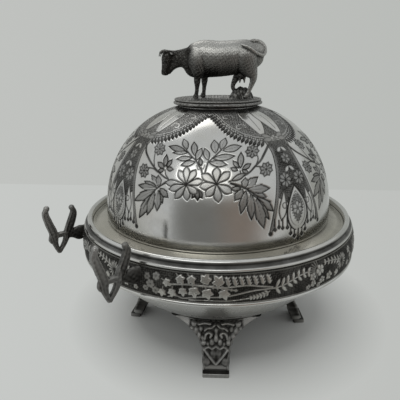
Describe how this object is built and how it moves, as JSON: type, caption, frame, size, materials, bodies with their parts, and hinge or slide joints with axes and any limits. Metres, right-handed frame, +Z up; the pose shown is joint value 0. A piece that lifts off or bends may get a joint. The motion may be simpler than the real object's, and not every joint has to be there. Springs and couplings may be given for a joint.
{
  "type": "covered butter dish",
  "caption": "Round silver-plated butter dish on cast feet, with an ornament band, V-shaped knife rests, a pierced drainer and a domed lift-off cover topped by a standing cow.",
  "frame": {"origin": "centre of the bowl's flat underside, on the dish's axis, 20.4 mm above the table", "axes": "+Z up along the dish's axis; the front foot points to -Y; the cow faces -X; the knife rests point to -X and -Y"},
  "size_m": [0.1873, 0.177, 0.1854],
  "materials": {
    "silver_plate": "polished, darkened in the recesses",
    "cast_silver": "satin, tarnished",
    "steel_fixings": "plain"
  },
  "bodies": {
    "base": {"bowl": "silver_plate", "ornament_band": "cast_silver", "base_wire": "silver_plate", "rim_moulding": "silver_plate", "flange_ring": "silver_plate", "foot_front": "cast_silver", "foot_right": "cast_silver", "foot_back": "cast_silver", "foot_left": "cast_silver", "knife_rest_left": "cast_silver", "knife_rest_front": "cast_silver"},
    "drainer": {"drainer": "silver_plate"},
    "cover": {"cover_dome": "silver_plate", "cover_bezel": "silver_plate", "finial_collar": "cast_silver", "finial_plinth": "cast_silver", "cow": "cast_silver", "finial_stud": "steel_fixings", "finial_washer": "steel_fixings", "finial_nut": "steel_fixings"}
  },
  "joints": [
    {"name": "cover_lift", "type": "slide", "parent": "base", "child": "cover", "axis": [0, 0, 1], "range_m": [0, 0.12]},
    {"name": "drainer_lift", "type": "slide", "parent": "base", "child": "drainer", "axis": [0, 0, 1], "range_m": [0, 0.025]}
  ]
}
